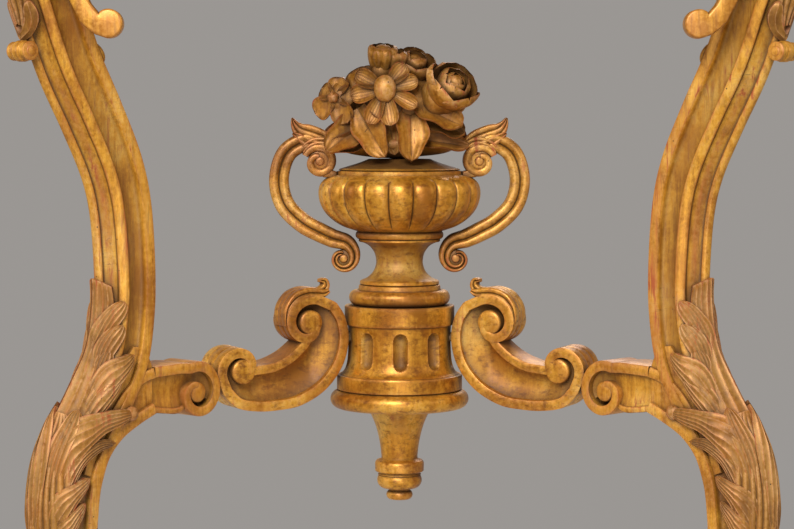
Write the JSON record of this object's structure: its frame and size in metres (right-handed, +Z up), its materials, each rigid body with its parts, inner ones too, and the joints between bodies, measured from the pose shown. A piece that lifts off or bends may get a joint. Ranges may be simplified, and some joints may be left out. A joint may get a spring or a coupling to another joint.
{
  "type": "console table",
  "caption": "Carved giltwood console table: S-curved front legs joined by scroll brackets to a fluted drum with an urn of flowers, plain rear legs, marble slab",
  "frame": {"origin": "on the floor under the middle of the slab", "axes": "+X to the right seen from the front, +Y to the back (wall side), +Z up"},
  "size_m": [1.14, 0.4202, 0.88],
  "materials": {
    "gilded_wood": "satin",
    "rubbed_gilt": "matte",
    "bare_wood": "matte",
    "marble": "polished",
    "iron": "matte"
  },
  "bodies": {
    "root": {"front_rail": "gilded_wood", "left_side_rail": "gilded_wood", "right_side_rail": "gilded_wood", "left_corner_block": "gilded_wood", "right_corner_block": "gilded_wood", "front_moulding": "gilded_wood", "left_side_moulding": "gilded_wood", "right_side_moulding": "gilded_wood", "left_front_leg": "gilded_wood", "right_front_leg": "gilded_wood", "left_front_foot": "gilded_wood", "right_front_foot": "gilded_wood", "left_front_plinth": "gilded_wood", "right_front_plinth": "gilded_wood", "left_rear_leg": "gilded_wood", "right_rear_leg": "gilded_wood", "left_front_ear": "gilded_wood", "right_front_ear": "gilded_wood", "left_leg_scroll": "gilded_wood", "right_leg_scroll": "gilded_wood", "left_bracket": "gilded_wood", "right_bracket": "gilded_wood", "stretcher_drum": "gilded_wood", "drum_base_ring": "gilded_wood", "pendant_finial": "gilded_wood", "urn_foot": "gilded_wood", "urn_stem": "gilded_wood", "urn_bowl": "gilded_wood", "urn_cover": "gilded_wood", "left_handle": "gilded_wood", "right_handle": "gilded_wood", "flower_bouquet": "rubbed_gilt", "back_rail": "bare_wood", "center_bearer": "bare_wood", "left_rear_glue_block": "bare_wood", "right_rear_glue_block": "bare_wood", "left_front_glue_block": "bare_wood", "right_front_glue_block": "bare_wood", "urn_tie_rod": "bare_wood", "left_leg_dowel": "bare_wood", "left_scroll_dowel": "bare_wood", "left_drum_dowel": "bare_wood", "left_bracket_dowel": "bare_wood", "right_leg_dowel": "bare_wood", "right_scroll_dowel": "bare_wood", "right_drum_dowel": "bare_wood", "right_bracket_dowel": "bare_wood", "left_handle_pin": "iron", "right_handle_pin": "iron", "marble_top": "marble"}
  },
  "joints": []
}
